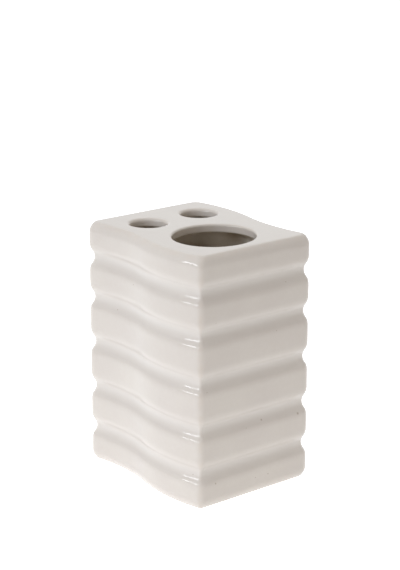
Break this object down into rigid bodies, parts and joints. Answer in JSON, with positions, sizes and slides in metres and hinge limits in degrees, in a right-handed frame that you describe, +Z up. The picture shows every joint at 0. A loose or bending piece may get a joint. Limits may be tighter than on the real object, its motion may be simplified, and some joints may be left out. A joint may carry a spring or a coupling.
{
  "type": "toothbrush holder",
  "caption": "Glazed ceramic toothbrush holder: a ribbed square block with waving front and back faces and round holes in its deck.",
  "frame": {"origin": "middle of the footprint, on the surface that the holder stands on", "axes": "+Z up out of the deck's holes; +X along the waving faces, towards the large hole; +Y towards the back"},
  "size_m": [0.088, 0.0756, 0.12],
  "materials": {
    "glazed_body": "satin white glaze",
    "pad": "matt, translucent grey"
  },
  "bodies": {
    "root": {"holder_body": "glazed_body", "pad_front_left": "pad", "pad_front_right": "pad", "pad_back_left": "pad", "pad_back_right": "pad"}
  },
  "joints": []
}
